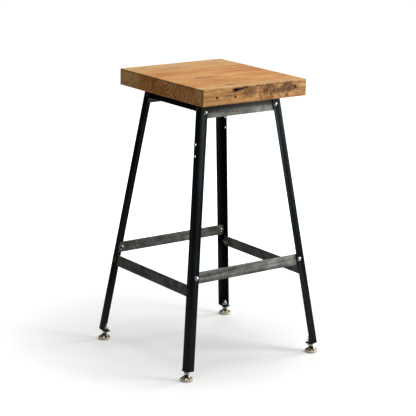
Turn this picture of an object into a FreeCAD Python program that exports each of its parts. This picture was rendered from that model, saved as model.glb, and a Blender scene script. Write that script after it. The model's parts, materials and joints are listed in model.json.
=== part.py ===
import FreeCAD, Part
import math
import os

# Bar stool with a footrest: a thick wooden seat on four splayed steel angle legs,
# four angle aprons under the seat, four flat footrest rails and four levelling feet.
# Millimetres. +Z is up, the origin is on the floor under the middle of the seat.
# The heels of the leg angles lie on a four-sided tapered frame, wider at the floor.

# seat
TOTAL_HEIGHT = 762.0
SEAT_X = 338.0
SEAT_Y = 382.0
SEAT_THICK = 44.0
SEAT_CORNER = 4.0

# legs: half distances from the middle to the outer heel edge of the angles
LEG_TOP_X = 127.6
LEG_TOP_Y = 126.7
LEG_BOTTOM_X = 219.5
LEG_BOTTOM_Y = 212.3
LEG_BOTTOM_Z = 27.5     # height of the heel at the square-cut bottom end
FLANGE_X = 24.0          # width of the flanges that face front and back
FLANGE_Y = 19.0          # width of the flanges that face the two ends
STEEL = 3.0              # thickness of every steel section
ROOT_RADIUS = 2.0
TOE_RADIUS = 1.6
FLANGE_END_ROUND = 4.0   # lower outer corner of each flange
SPARE_HOLE = 7.0         # two unused holes near the top of each leg
SPARE_HOLE_Z = (607.5, 577.5)

# bolt gauge lines, measured from the heel
GAUGE_X = 17.0
GAUGE_Y = 14.0

# footrest rails
RAIL_HEIGHT = 30.0
RAIL_Z_FRONT_BACK = 266.0
RAIL_Z_ENDS = 232.0
RAIL_CORNER = 3.0

# aprons
APRON_DEPTH_FRONT_BACK = 45.0
APRON_DEPTH_ENDS = 27.5
APRON_LEDGE_FRONT_BACK = 30.0
APRON_LEDGE_ENDS = 25.0
APRON_BOLT_Z_FRONT_BACK = 690.0
APRON_BOLT_Z_ENDS = 702.0

# frame bolts, washers and nuts (M6)
BOLT_SHANK = 6.0
BOLT_HOLE = 6.6
BOLT_HEAD = 12.0
BOLT_HEAD_HIGH = 3.6
WASHER_OUTER = 15.0
WASHER_THICK = 1.5
NUT_FLATS = 10.0
NUT_HIGH = 5.0
BOLT_PROUD = 2.6

# screws that hold the seat to the aprons
SCREW_SHANK = 4.8
SCREW_HEAD = 9.0
SCREW_IN_WOOD = 22.0
SCREW_SLACK = 0.3

# levelling feet (M8 stem, 1.25 mm pitch); each stem runs in line with its leg
FOOT_IN_X = 12.0         # stem centre, inward from the heel, measured square to the leg
FOOT_IN_Y = 15.0
PLATE_X = 18.0
PLATE_Y = 24.0
PLATE_THICK = 3.0
PLATE_HOLE = 9.0
STEM = 8.0
STEM_ABOVE_NUT = 10.0
NUT_SLACK = 0.1          # running gap between each nut face and the plate
STEM_THREAD_START = 8.6  # distance from the ball centre, along the stem
STEM_NECK = 5.2
BALL = 9.4
BALL_Z = 8.0
FOOT_NUT_FLATS = 13.0
FOOT_NUT_HIGH = 6.5
BASE = 35.4
BASE_HIGH = 5.4
SHELL = 30.8
SHELL_TOP_Z = 14.4

CORNERS = {
    "front_left": (-1, -1),
    "front_right": (1, -1),
    "back_left": (-1, 1),
    "back_right": (1, 1),
}

SEAT_UNDER_Z = TOTAL_HEIGHT - SEAT_THICK
LEG_RISE = SEAT_UNDER_Z - LEG_BOTTOM_Z
SLOPE_X = (LEG_BOTTOM_X - LEG_TOP_X) / LEG_RISE
SLOPE_Y = (LEG_BOTTOM_Y - LEG_TOP_Y) / LEG_RISE
LEAN_X = math.sqrt(1.0 + SLOPE_X * SLOPE_X)
LEAN_Y = math.sqrt(1.0 + SLOPE_Y * SLOPE_Y)
WALL_X = STEEL * LEAN_X      # level thickness of a sheet lying in an end face
WALL_Y = STEEL * LEAN_Y      # level thickness of a sheet lying in a front or back face

V = FreeCAD.Vector
NODES = {}


def half_x(z):
    """Half distance from the middle to the heel edge, along X, at height z."""
    return LEG_TOP_X + SLOPE_X * (SEAT_UNDER_Z - z)


def half_y(z):
    """Half distance from the middle to the heel edge, along Y, at height z."""
    return LEG_TOP_Y + SLOPE_Y * (SEAT_UNDER_Z - z)


def face_frame(side, across, z):
    """Axes on the outer plane of a frame face: across, up the slope, outward, and the origin."""
    axis, sign = side
    if axis == "y":
        origin = V(across, sign * half_y(z), z)
        u = V(1, 0, 0)
        n = V(0, sign, SLOPE_Y)
    else:
        origin = V(sign * half_x(z), across, z)
        u = V(0, 1, 0)
        n = V(sign, 0, SLOPE_X)
    n.normalize()
    up = n.cross(u)
    if up.z < 0:
        up = up.negative()
    return origin, u, up, n


def place(shape, origin, x_dir, y_dir, z_dir):
    """Move a shape drawn at the origin so its axes lie on the three given directions."""
    m = FreeCAD.Matrix(
        x_dir.x, y_dir.x, z_dir.x, origin.x,
        x_dir.y, y_dir.y, z_dir.y, origin.y,
        x_dir.z, y_dir.z, z_dir.z, origin.z,
        0, 0, 0, 1,
    )
    moved = shape.copy()
    moved.Placement = FreeCAD.Placement(m).multiply(moved.Placement)
    return moved


def along(shape, origin, direction):
    """Place a shape drawn along +Z so that it points along a direction."""
    turn = FreeCAD.Rotation(V(0, 0, 1), direction)
    moved = shape.copy()
    moved.Placement = FreeCAD.Placement(origin, turn).multiply(moved.Placement)
    return moved


def polygon_face(points):
    return Part.Face(Part.makePolygon(points + [points[0]]))


def hexagon(flats, high):
    """Hexagon bar with the corner tips turned off at both ends."""
    r = flats / math.sqrt(3.0)
    points = []
    for i in range(6):
        a = math.radians(60.0 * i + 30.0)
        points.append(V(r * math.cos(a), r * math.sin(a), 0))
    bar = polygon_face(points).extrude(V(0, 0, high))
    flat_r = flats / 2.0 * 0.97
    drop = (r - flat_r) * 0.5
    barrel = [
        V(0, 0, 0), V(flat_r, 0, 0), V(r, 0, drop),
        V(r, 0, high - drop), V(flat_r, 0, high), V(0, 0, high),
    ]
    turned = polygon_face(barrel).revolve(V(0, 0, 0), V(0, 0, 1), 360)
    return bar.common(turned)


def hex_nut(flats, high, bore):
    nut = hexagon(flats, high)
    hole = Part.makeCylinder(bore / 2.0, high + 2, V(0, 0, -1))
    sink = Part.makeCone(bore / 2.0 + 0.6, bore / 2.0, 0.6)
    top_sink = Part.makeCone(bore / 2.0, bore / 2.0 + 0.6, 0.6, V(0, 0, high - 0.6))
    return nut.cut(hole).cut(sink).cut(top_sink)


def group(shapes):
    """Several separate solids kept together as one exported piece."""
    solids = []
    for shape in shapes:
        solids.extend(shape.Solids)
    return Part.makeCompound(solids)


# ---------------------------------------------------------------- bolt positions

FRONT = ("y", -1)
BACK = ("y", 1)
LEFT = ("x", -1)
RIGHT = ("x", 1)


def bolt_places(side, z):
    """The two bolt centres of one rail or apron, on the outer plane of its face."""
    places = []
    for hand in (-1, 1):
        if side[0] == "y":
            across = hand * (half_x(z) - GAUGE_X)
        else:
            across = hand * (half_y(z) - GAUGE_Y)
        places.append(face_frame(side, across, z))
    return places


RAIL_BOLTS = []
for a_side in (FRONT, BACK):
    RAIL_BOLTS.extend(bolt_places(a_side, RAIL_Z_FRONT_BACK))
for a_side in (LEFT, RIGHT):
    RAIL_BOLTS.extend(bolt_places(a_side, RAIL_Z_ENDS))

APRON_BOLTS = []
for a_side in (FRONT, BACK):
    APRON_BOLTS.extend(bolt_places(a_side, APRON_BOLT_Z_FRONT_BACK))
for a_side in (LEFT, RIGHT):
    APRON_BOLTS.extend(bolt_places(a_side, APRON_BOLT_Z_ENDS))


def bolt_hole_cutter(frame):
    """A round cutter along the bolt axis, long enough for the flange and the bar behind it."""
    origin, u, up, n = frame
    start = origin.add(n * 3.0)
    cutter = Part.makeCylinder(BOLT_HOLE / 2.0, 3.0 + 2 * STEEL + 4.0)
    return along(cutter, start, n.negative())


ALL_BOLT_CUTTERS = []
for a_frame in RAIL_BOLTS + APRON_BOLTS:
    ALL_BOLT_CUTTERS.append(bolt_hole_cutter(a_frame))


def near(cutter, shape):
    return cutter.BoundBox.intersect(shape.BoundBox)


def drill(shape, cutters):
    for cutter in cutters:
        if near(cutter, shape):
            shape = shape.cut(cutter)
    return shape


# ---------------------------------------------------------------- legs

def leg_frame(sx, sy):
    """Bottom heel corner, inward direction of each flange, and the direction up the leg."""
    heel = V(sx * half_x(LEG_BOTTOM_Z), sy * half_y(LEG_BOTTOM_Z), LEG_BOTTOM_Z)
    up = V(-sx * SLOPE_X, -sy * SLOPE_Y, 1.0)
    up.normalize()
    u = V(-sx, 0, 0)
    u = u.sub(up * u.dot(up))
    u = u.sub(V(0, sy, SLOPE_Y) * (u.dot(V(0, sy, SLOPE_Y)) / (LEAN_Y * LEAN_Y)))
    u.normalize()
    v = V(0, -sy, 0)
    v = v.sub(up * v.dot(up))
    v = v.sub(V(sx, 0, SLOPE_X) * (v.dot(V(sx, 0, SLOPE_X)) / (LEAN_X * LEAN_X)))
    v.normalize()
    return heel, u, v, up


def end_corner(corner, outward, across, up, wall):
    """What is cut away to round the lower outer corner of one flange."""
    r = FLANGE_END_ROUND
    over = 1.0

    def p(out, high):
        return corner.add(outward * out).add(up * high).sub(across * over)

    k = r * (1.0 - math.sqrt(0.5))
    edges = [
        Part.Arc(p(-r, 0), p(-k, k), p(0, r)).toShape(),
        Part.makeLine(p(0, r), p(over, r)),
        Part.makeLine(p(over, r), p(over, -over)),
        Part.makeLine(p(over, -over), p(-r, -over)),
        Part.makeLine(p(-r, -over), p(-r, 0)),
    ]
    return Part.Face(Part.Wire(edges)).extrude(across * (wall + 2 * over))


def leg_solid(sx, sy):
    """Angle section square to the leg, heel outward, toes and root rounded, cut level at the top."""
    heel, u, v, up = leg_frame(sx, sy)

    def p(dx, dy):
        return heel.add(u * dx).add(v * dy)

    k = 1.0 - math.sqrt(0.5)
    wall = STEEL / math.sqrt(1.0 - u.dot(v) * u.dot(v))
    toe = TOE_RADIUS
    root = ROOT_RADIUS
    edges = [
        Part.makeLine(p(0, 0), p(FLANGE_X, 0)),
        Part.makeLine(p(FLANGE_X, 0), p(FLANGE_X, wall - toe)),
        Part.Arc(
            p(FLANGE_X, wall - toe),
            p(FLANGE_X - k * toe, wall - k * toe),
            p(FLANGE_X - toe, wall),
        ).toShape(),
        Part.makeLine(p(FLANGE_X - toe, wall), p(wall + root, wall)),
        Part.Arc(
            p(wall + root, wall),
            p(wall + k * root, wall + k * root),
            p(wall, wall + root),
        ).toShape(),
        Part.makeLine(p(wall, wall + root), p(wall, FLANGE_Y - toe)),
        Part.Arc(
            p(wall, FLANGE_Y - toe),
            p(wall - k * toe, FLANGE_Y - k * toe),
            p(wall - toe, FLANGE_Y),
        ).toShape(),
        Part.makeLine(p(wall - toe, FLANGE_Y), p(0, FLANGE_Y)),
        Part.makeLine(p(0, FLANGE_Y), p(0, 0)),
    ]
    section = Part.Face(Part.Wire(edges))
    bar = section.extrude(up * (LEG_RISE * 1.05))
    above = Part.makeBox(600, 600, 200, V(-300, -300, SEAT_UNDER_Z))
    bar = bar.cut(above)
    bar = bar.cut(end_corner(heel.add(u * FLANGE_X), u, v, up, wall))
    return bar.cut(end_corner(heel.add(v * FLANGE_Y), v, u, up, wall))


for name, (sx, sy) in CORNERS.items():
    leg = leg_solid(sx, sy)
    leg = drill(leg, ALL_BOLT_CUTTERS)
    end_side = ("x", sx)
    for hole_z in SPARE_HOLE_Z:
        frame = face_frame(end_side, sy * (half_y(hole_z) - GAUGE_Y), hole_z)
        start = frame[0].add(frame[3] * 2.0)
        cutter = Part.makeCylinder(SPARE_HOLE / 2.0, STEEL + 4.0)
        leg = leg.cut(along(cutter, start, frame[3].negative()))
    NODES["leg_" + name] = leg


# ---------------------------------------------------------------- footrest rails

def flat_rail(side, z):
    """Flat bar with rounded end corners, lying against the inside of the leg flanges."""
    if side[0] == "y":
        reach = half_x(z + RAIL_HEIGHT / 2.0) - WALL_X
    else:
        reach = half_y(z + RAIL_HEIGHT / 2.0) - WALL_Y
    # keep the bar clear of the rounded root inside the angle
    reach = reach - ROOT_RADIUS - 0.3
    bar = Part.makeBox(2 * reach, RAIL_HEIGHT, STEEL, V(-reach, -RAIL_HEIGHT / 2.0, -2 * STEEL))
    end_edges = []
    for edge in bar.Edges:
        direction = edge.Vertexes[1].Point.sub(edge.Vertexes[0].Point)
        if abs(abs(direction.z) - STEEL) < 1e-6:
            end_edges.append(edge)
    bar = bar.makeFillet(RAIL_CORNER, end_edges)
    origin, u, up, n = face_frame(side, 0.0, z)
    if side[0] == "y":
        hand = u if n.y < 0 else u.negative()
    else:
        hand = u if n.x > 0 else u.negative()
    placed = place(bar, origin, hand, up, n)
    return drill(placed, ALL_BOLT_CUTTERS)


NODES["footrest_front"] = flat_rail(FRONT, RAIL_Z_FRONT_BACK)
NODES["footrest_back"] = flat_rail(BACK, RAIL_Z_FRONT_BACK)
NODES["footrest_left"] = flat_rail(LEFT, RAIL_Z_ENDS)
NODES["footrest_right"] = flat_rail(RIGHT, RAIL_Z_ENDS)


# ---------------------------------------------------------------- aprons

LEDGE_SCREW_FRONT_BACK = (-80.0, 0.0, 80.0)
LEDGE_SCREW_ENDS = (-60.0, 60.0)
LEDGE_SCREW_IN = 18.0        # screw line, inward from the outer face of the apron


def apron(side, depth, ledge):
    """Angle under the seat: one flange follows the leg slope, the ledge lies level on the seat."""
    axis, sign = side
    z_top = SEAT_UNDER_Z
    z_low = z_top - depth
    if axis == "y":
        outer_top = half_y(z_top) - WALL_Y
        outer_low = half_y(z_low) - WALL_Y
        wall = WALL_Y
        reach = half_x(z_top) - WALL_X - ROOT_RADIUS - 0.3
        ledge_reach = half_x(z_top) - 2 * WALL_X - 0.8
    else:
        outer_top = half_x(z_top) - WALL_X
        outer_low = half_x(z_low) - WALL_X
        wall = WALL_X
        reach = half_y(z_top) - 2 * WALL_Y - 0.5
        ledge_reach = half_y(z_top) - WALL_Y - APRON_LEDGE_FRONT_BACK - 0.6

    def section(points, length):
        placed = []
        for across_face, z in points:
            if axis == "y":
                placed.append(V(-length, sign * across_face, z))
            else:
                placed.append(V(sign * across_face, -length, z))
        travel = V(2 * length, 0, 0) if axis == "y" else V(0, 2 * length, 0)
        return polygon_face(placed).extrude(travel)

    bevel = 1.0
    skirt = section(
        [
            (outer_top, z_top), (outer_low, z_low), (outer_low - wall + bevel, z_low),
            (outer_low - wall, z_low + bevel), (outer_top - wall, z_top),
        ],
        reach,
    )
    shelf = section(
        [
            (outer_top - 0.01, z_top), (outer_top - ledge, z_top),
            (outer_top - ledge, z_top - STEEL + bevel), (outer_top - ledge + bevel, z_top - STEEL),
            (outer_top - wall - 2.4, z_top - STEEL), (outer_top - wall + 0.3, z_top - STEEL - 2.4),
            (outer_top - 0.01, z_top - STEEL - 2.4),
        ],
        ledge_reach,
    )
    bar = skirt.fuse(shelf).removeSplitter()
    bar = drill(bar, ALL_BOLT_CUTTERS)
    along_places = LEDGE_SCREW_FRONT_BACK if axis == "y" else LEDGE_SCREW_ENDS
    for place_along in along_places:
        in_from_middle = sign * (outer_top - LEDGE_SCREW_IN)
        if axis == "y":
            centre = V(place_along, in_from_middle, z_top - STEEL - 1.0)
        else:
            centre = V(in_from_middle, place_along, z_top - STEEL - 1.0)
        SCREWS.append(V(centre.x, centre.y, z_top - STEEL))
        bar = bar.cut(Part.makeCylinder(SCREW_SHANK / 2.0 + SCREW_SLACK, STEEL + 2.0, centre))
    return bar


SCREWS = []
NODES["apron_front"] = apron(FRONT, APRON_DEPTH_FRONT_BACK, APRON_LEDGE_FRONT_BACK)
NODES["apron_back"] = apron(BACK, APRON_DEPTH_FRONT_BACK, APRON_LEDGE_FRONT_BACK)
NODES["apron_left"] = apron(LEFT, APRON_DEPTH_ENDS, APRON_LEDGE_ENDS)
NODES["apron_right"] = apron(RIGHT, APRON_DEPTH_ENDS, APRON_LEDGE_ENDS)


# ---------------------------------------------------------------- seat and its screws

seat = Part.makeBox(
    SEAT_X, SEAT_Y, SEAT_THICK, V(-SEAT_X / 2.0, -SEAT_Y / 2.0, SEAT_UNDER_Z)
)
upright = []
for edge in seat.Edges:
    run = edge.Vertexes[1].Point.sub(edge.Vertexes[0].Point)
    if abs(abs(run.z) - SEAT_THICK) < 1e-6:
        upright.append(edge)
seat = seat.makeFillet(SEAT_CORNER, upright)
top_edges = []
for edge in seat.Edges:
    if abs(edge.BoundBox.ZMin - TOTAL_HEIGHT) < 1e-6 and abs(edge.BoundBox.ZMax - TOTAL_HEIGHT) < 1e-6:
        top_edges.append(edge)
seat = seat.makeFillet(2.2, top_edges)
under_edges = []
for edge in seat.Edges:
    if abs(edge.BoundBox.ZMin - SEAT_UNDER_Z) < 1e-6 and abs(edge.BoundBox.ZMax - SEAT_UNDER_Z) < 1e-6:
        under_edges.append(edge)
seat = seat.makeChamfer(1.0, under_edges)

screw_solids = []
for at in SCREWS:
    pilot = Part.makeCylinder(
        SCREW_SHANK / 2.0 + SCREW_SLACK, SCREW_IN_WOOD + 1.0, V(at.x, at.y, SEAT_UNDER_Z - 0.5)
    )
    seat = seat.cut(pilot)
    shank = Part.makeCylinder(SCREW_SHANK / 2.0, STEEL + SCREW_IN_WOOD - 4.0, at)
    tip = Part.makeCone(
        SCREW_SHANK / 2.0, 0.5, 4.0, V(at.x, at.y, at.z + STEEL + SCREW_IN_WOOD - 4.0)
    )
    dome = Part.makeSphere(5.6, V(0, 0, 0))
    cap = dome.common(Part.makeCylinder(SCREW_HEAD / 2.0, 20.0, V(0, 0, -20.0 - 3.0)))
    cap.translate(V(at.x, at.y, at.z + 3.0))
    slot = Part.makeBox(0.9, 5.0, 1.2, V(at.x - 0.45, at.y - 2.5, at.z - 2.8))
    cross = Part.makeBox(5.0, 0.9, 1.2, V(at.x - 2.5, at.y - 0.45, at.z - 2.8))
    screw_solids.append(shank.fuse(tip).fuse(cap).cut(slot).cut(cross).removeSplitter())

NODES["seat"] = seat
NODES["seat_screws"] = group(screw_solids)


# ---------------------------------------------------------------- frame bolts, washers, nuts

def dome_bolt():
    """Domed bolt; +Z points out of the joint and the head sits on the plane z = 0."""
    head_r = BOLT_HEAD / 2.0
    ball_r = (head_r * head_r + BOLT_HEAD_HIGH * BOLT_HEAD_HIGH) / (2.0 * BOLT_HEAD_HIGH)
    ball = Part.makeSphere(ball_r, V(0, 0, BOLT_HEAD_HIGH - ball_r))
    head = ball.common(Part.makeCylinder(head_r, BOLT_HEAD_HIGH + 1.0))
    grip = 2 * STEEL + WASHER_THICK + NUT_HIGH + BOLT_PROUD
    shank = Part.makeCylinder(BOLT_SHANK / 2.0, grip - 0.8, V(0, 0, -grip + 0.8))
    tip = Part.makeCone(BOLT_SHANK / 2.0 - 0.8, BOLT_SHANK / 2.0, 0.8, V(0, 0, -grip))
    return head.fuse(shank).fuse(tip).removeSplitter()


def flat_washer():
    disc = Part.makeCylinder(WASHER_OUTER / 2.0, WASHER_THICK)
    return disc.cut(Part.makeCylinder(BOLT_SHANK / 2.0 + 0.3, WASHER_THICK + 2, V(0, 0, -1)))


def fit_bolts(frames, label):
    bolts = []
    washers = []
    nuts = []
    for origin, u, up, n in frames:
        inward = n.negative()
        bolts.append(along(dome_bolt(), origin, n))
        washers.append(along(flat_washer(), origin.add(inward * (2 * STEEL)), inward))
        nut_seat = origin.add(inward * (2 * STEEL + WASHER_THICK))
        nuts.append(along(hex_nut(NUT_FLATS, NUT_HIGH, BOLT_SHANK + 0.6), nut_seat, inward))
    NODES[label + "_bolts"] = group(bolts)
    NODES[label + "_washers"] = group(washers)
    NODES[label + "_nuts"] = group(nuts)


fit_bolts(RAIL_BOLTS, "rail")
fit_bolts(APRON_BOLTS, "apron")


# ---------------------------------------------------------------- levelling feet

def turned(points):
    """Solid turned about the Z axis from a half outline of (radius, height) points."""
    outline = [V(r, 0, z) for r, z in points]
    return polygon_face(outline).revolve(V(0, 0, 0), V(0, 0, 1), 360)


def stem_shape(plate_at):
    """Threaded stem with a ball end; the origin is the ball centre and +Z runs up the stem."""
    r = STEM / 2.0
    start = STEM_THREAD_START
    top = plate_at + PLATE_THICK + FOOT_NUT_HIGH + STEM_ABOVE_NUT
    rod = turned([
        (0, 0), (STEM_NECK / 2.0, 0), (STEM_NECK / 2.0, start - 0.8),
        (r - 0.5, start - 0.8), (r, start), (r, top - 0.9),
        (r - 0.9, top), (0, top),
    ])
    rod = rod.fuse(Part.makeSphere(BALL / 2.0))
    slot = Part.makeBox(STEM + 2, 1.4, 2.2, V(-STEM / 2.0 - 1, -0.7, top - 2.2))
    return rod.cut(slot).removeSplitter()


def base_shape():
    """Base ring with a raised cup that holds the ball."""
    r = BASE / 2.0
    cup_top = BALL_Z + 2.8
    body = turned([
        (0, 0), (r - 1.6, 0), (r, 1.2), (r, BASE_HIGH - 1.0), (r - 0.9, BASE_HIGH),
        (8.2, BASE_HIGH), (6.4, cup_top), (0, cup_top),
    ])
    return body.cut(Part.makeSphere(BALL / 2.0 + 0.3, V(0, 0, BALL_Z)))


def shell_shape():
    """Pressed metal cone over the cup, slightly hollow in outline."""
    r = SHELL / 2.0
    low = BASE_HIGH
    top = SHELL_TOP_Z
    return turned([
        (r, low), (r, low + 0.8), (12.4, low + 3.0), (9.2, low + 5.8), (6.9, top - 0.7),
        (6.3, top), (4.9, top), (4.9, top - 1.0),
        (5.9, top - 1.7), (8.3, low + 4.9), (11.7, low + 2.1), (r - 1.1, low),
    ])


def foot_plate(sx, sy):
    """Plate welded across the square-cut end of the leg, inside the angle."""
    heel, u, v, up = leg_frame(sx, sy)
    wall = STEEL / math.sqrt(1.0 - u.dot(v) * u.dot(v))
    nip = 3.4
    outline = [
        (wall + nip, wall), (wall, wall + nip), (wall, wall + PLATE_Y),
        (wall + PLATE_X - 2.0, wall + PLATE_Y), (wall + PLATE_X, wall + PLATE_Y - 2.0),
        (wall + PLATE_X, wall),
    ]
    points = [heel.add(u * x).add(v * y) for x, y in outline]
    plate = polygon_face(points).extrude(up * PLATE_THICK)
    centre = heel.add(u * FOOT_IN_X).add(v * FOOT_IN_Y)
    hole = along(Part.makeCylinder(PLATE_HOLE / 2.0, PLATE_THICK + 4.0), centre.sub(up * 2.0), up)
    return plate.cut(hole), centre, up


for name, (sx, sy) in CORNERS.items():
    plate, plate_centre, up = foot_plate(sx, sy)
    NODES["foot_plate_" + name] = plate
    # distance from the ball centre up the stem to the underside of the plate
    plate_at = (plate_centre.z - BALL_Z) / up.z
    ball = plate_centre.sub(up * plate_at)
    floor_point = V(ball.x, ball.y, 0)

    upper = hex_nut(FOOT_NUT_FLATS, FOOT_NUT_HIGH, STEM + 0.6)
    NODES["upper_nut_" + name] = along(upper, plate_centre.add(up * (PLATE_THICK + NUT_SLACK)), up)
    lower = hex_nut(FOOT_NUT_FLATS, FOOT_NUT_HIGH, STEM + 0.6)
    NODES["lower_nut_" + name] = along(lower, plate_centre.sub(up * (FOOT_NUT_HIGH + NUT_SLACK)), up)
    NODES["stem_" + name] = along(stem_shape(plate_at), ball, up)
    shell = shell_shape()
    shell.translate(floor_point)
    NODES["foot_shell_" + name] = shell
    base = base_shape()
    base.translate(floor_point)
    NODES["foot_base_" + name] = base
    print(name, "ball centre", ball, "stem direction", up)


# ---------------------------------------------------------------- export

os.makedirs("parts", exist_ok=True)
for name, shape in NODES.items():
    if shape.isNull() or not shape.isValid():
        raise RuntimeError("bad shape: " + name)
    shape.exportStep("parts/" + name + ".step")
    print(name, len(shape.Solids), round(shape.Volume, 1))
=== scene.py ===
import json
import math

import bmesh
import bpy
from mathutils import Matrix, Vector, noise


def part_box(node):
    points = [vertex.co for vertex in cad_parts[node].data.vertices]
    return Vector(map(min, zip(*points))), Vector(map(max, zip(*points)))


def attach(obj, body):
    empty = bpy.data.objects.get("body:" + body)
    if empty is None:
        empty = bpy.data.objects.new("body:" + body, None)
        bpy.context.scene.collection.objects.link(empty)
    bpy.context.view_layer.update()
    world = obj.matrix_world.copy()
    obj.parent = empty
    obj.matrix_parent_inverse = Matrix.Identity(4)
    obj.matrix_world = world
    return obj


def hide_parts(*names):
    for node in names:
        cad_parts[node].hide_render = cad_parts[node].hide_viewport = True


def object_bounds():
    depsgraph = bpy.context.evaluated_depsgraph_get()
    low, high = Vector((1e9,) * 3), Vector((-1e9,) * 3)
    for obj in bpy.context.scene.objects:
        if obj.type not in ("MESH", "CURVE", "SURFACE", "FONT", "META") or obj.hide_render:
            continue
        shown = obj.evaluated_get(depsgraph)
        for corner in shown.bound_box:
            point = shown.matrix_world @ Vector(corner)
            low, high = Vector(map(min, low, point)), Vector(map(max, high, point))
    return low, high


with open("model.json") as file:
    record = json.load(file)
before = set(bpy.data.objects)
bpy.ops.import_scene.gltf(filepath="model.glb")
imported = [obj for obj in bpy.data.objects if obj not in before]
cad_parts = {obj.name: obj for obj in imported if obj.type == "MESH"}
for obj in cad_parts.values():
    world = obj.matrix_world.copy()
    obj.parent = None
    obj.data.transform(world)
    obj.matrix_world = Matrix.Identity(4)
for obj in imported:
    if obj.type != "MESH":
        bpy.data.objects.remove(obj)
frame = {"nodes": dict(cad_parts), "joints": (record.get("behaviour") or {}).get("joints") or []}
CAD_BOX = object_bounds()

MM = 0.001
SCENE = bpy.context.scene
NODES = frame["nodes"]
JOINTS = {j["name"]: j for j in frame["joints"]}
CORNERS = ("front_left", "front_right", "back_left", "back_right")
SIDES = ("front", "back", "left", "right")


def srgb(r, g, b):
    """A linear colour from 0-255 screen values."""
    out = []
    for c in (r, g, b):
        c = c / 255.0
        out.append(c / 12.92 if c <= 0.04045 else ((c + 0.055) / 1.055) ** 2.4)
    return (out[0], out[1], out[2], 1.0)


def grey(level):
    """A linear grey."""
    return (level, level, level, 1.0)


# ------------------------------------------------------------------ camera

AZIMUTH = math.radians(-36.21)
ELEVATION = math.radians(14.412)
ROLL = math.radians(-1.124)
DISTANCE = 4.420747
AIM_SIDEWAYS = -0.004275
AIM_HEIGHT = 0.391983
IMAGE_WIDTH = 416.0
FOCAL_PIXELS = 1626.1423
SENSOR = 36.0


def make_camera():
    back = Vector((
        math.sin(AZIMUTH) * math.cos(ELEVATION),
        -math.cos(AZIMUTH) * math.cos(ELEVATION),
        math.sin(ELEVATION),
    ))
    right = Vector((math.cos(AZIMUTH), math.sin(AZIMUTH), 0.0))
    up = back.cross(right)
    place = right * AIM_SIDEWAYS + Vector((0, 0, AIM_HEIGHT)) + back * DISTANCE
    across = right * math.cos(ROLL) - up * math.sin(ROLL)
    upward = right * math.sin(ROLL) + up * math.cos(ROLL)
    turn = Matrix((
        (across.x, upward.x, back.x),
        (across.y, upward.y, back.y),
        (across.z, upward.z, back.z),
    ))
    data = bpy.data.cameras.new("camera")
    data.sensor_width = SENSOR
    data.lens = FOCAL_PIXELS * SENSOR / IMAGE_WIDTH
    data.clip_end = 50.0
    camera = bpy.data.objects.new("camera", data)
    SCENE.collection.objects.link(camera)
    camera.matrix_world = Matrix.Translation(place) @ turn.to_4x4()
    SCENE.camera = camera


make_camera()


# ------------------------------------------------------------------ node helper

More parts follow.
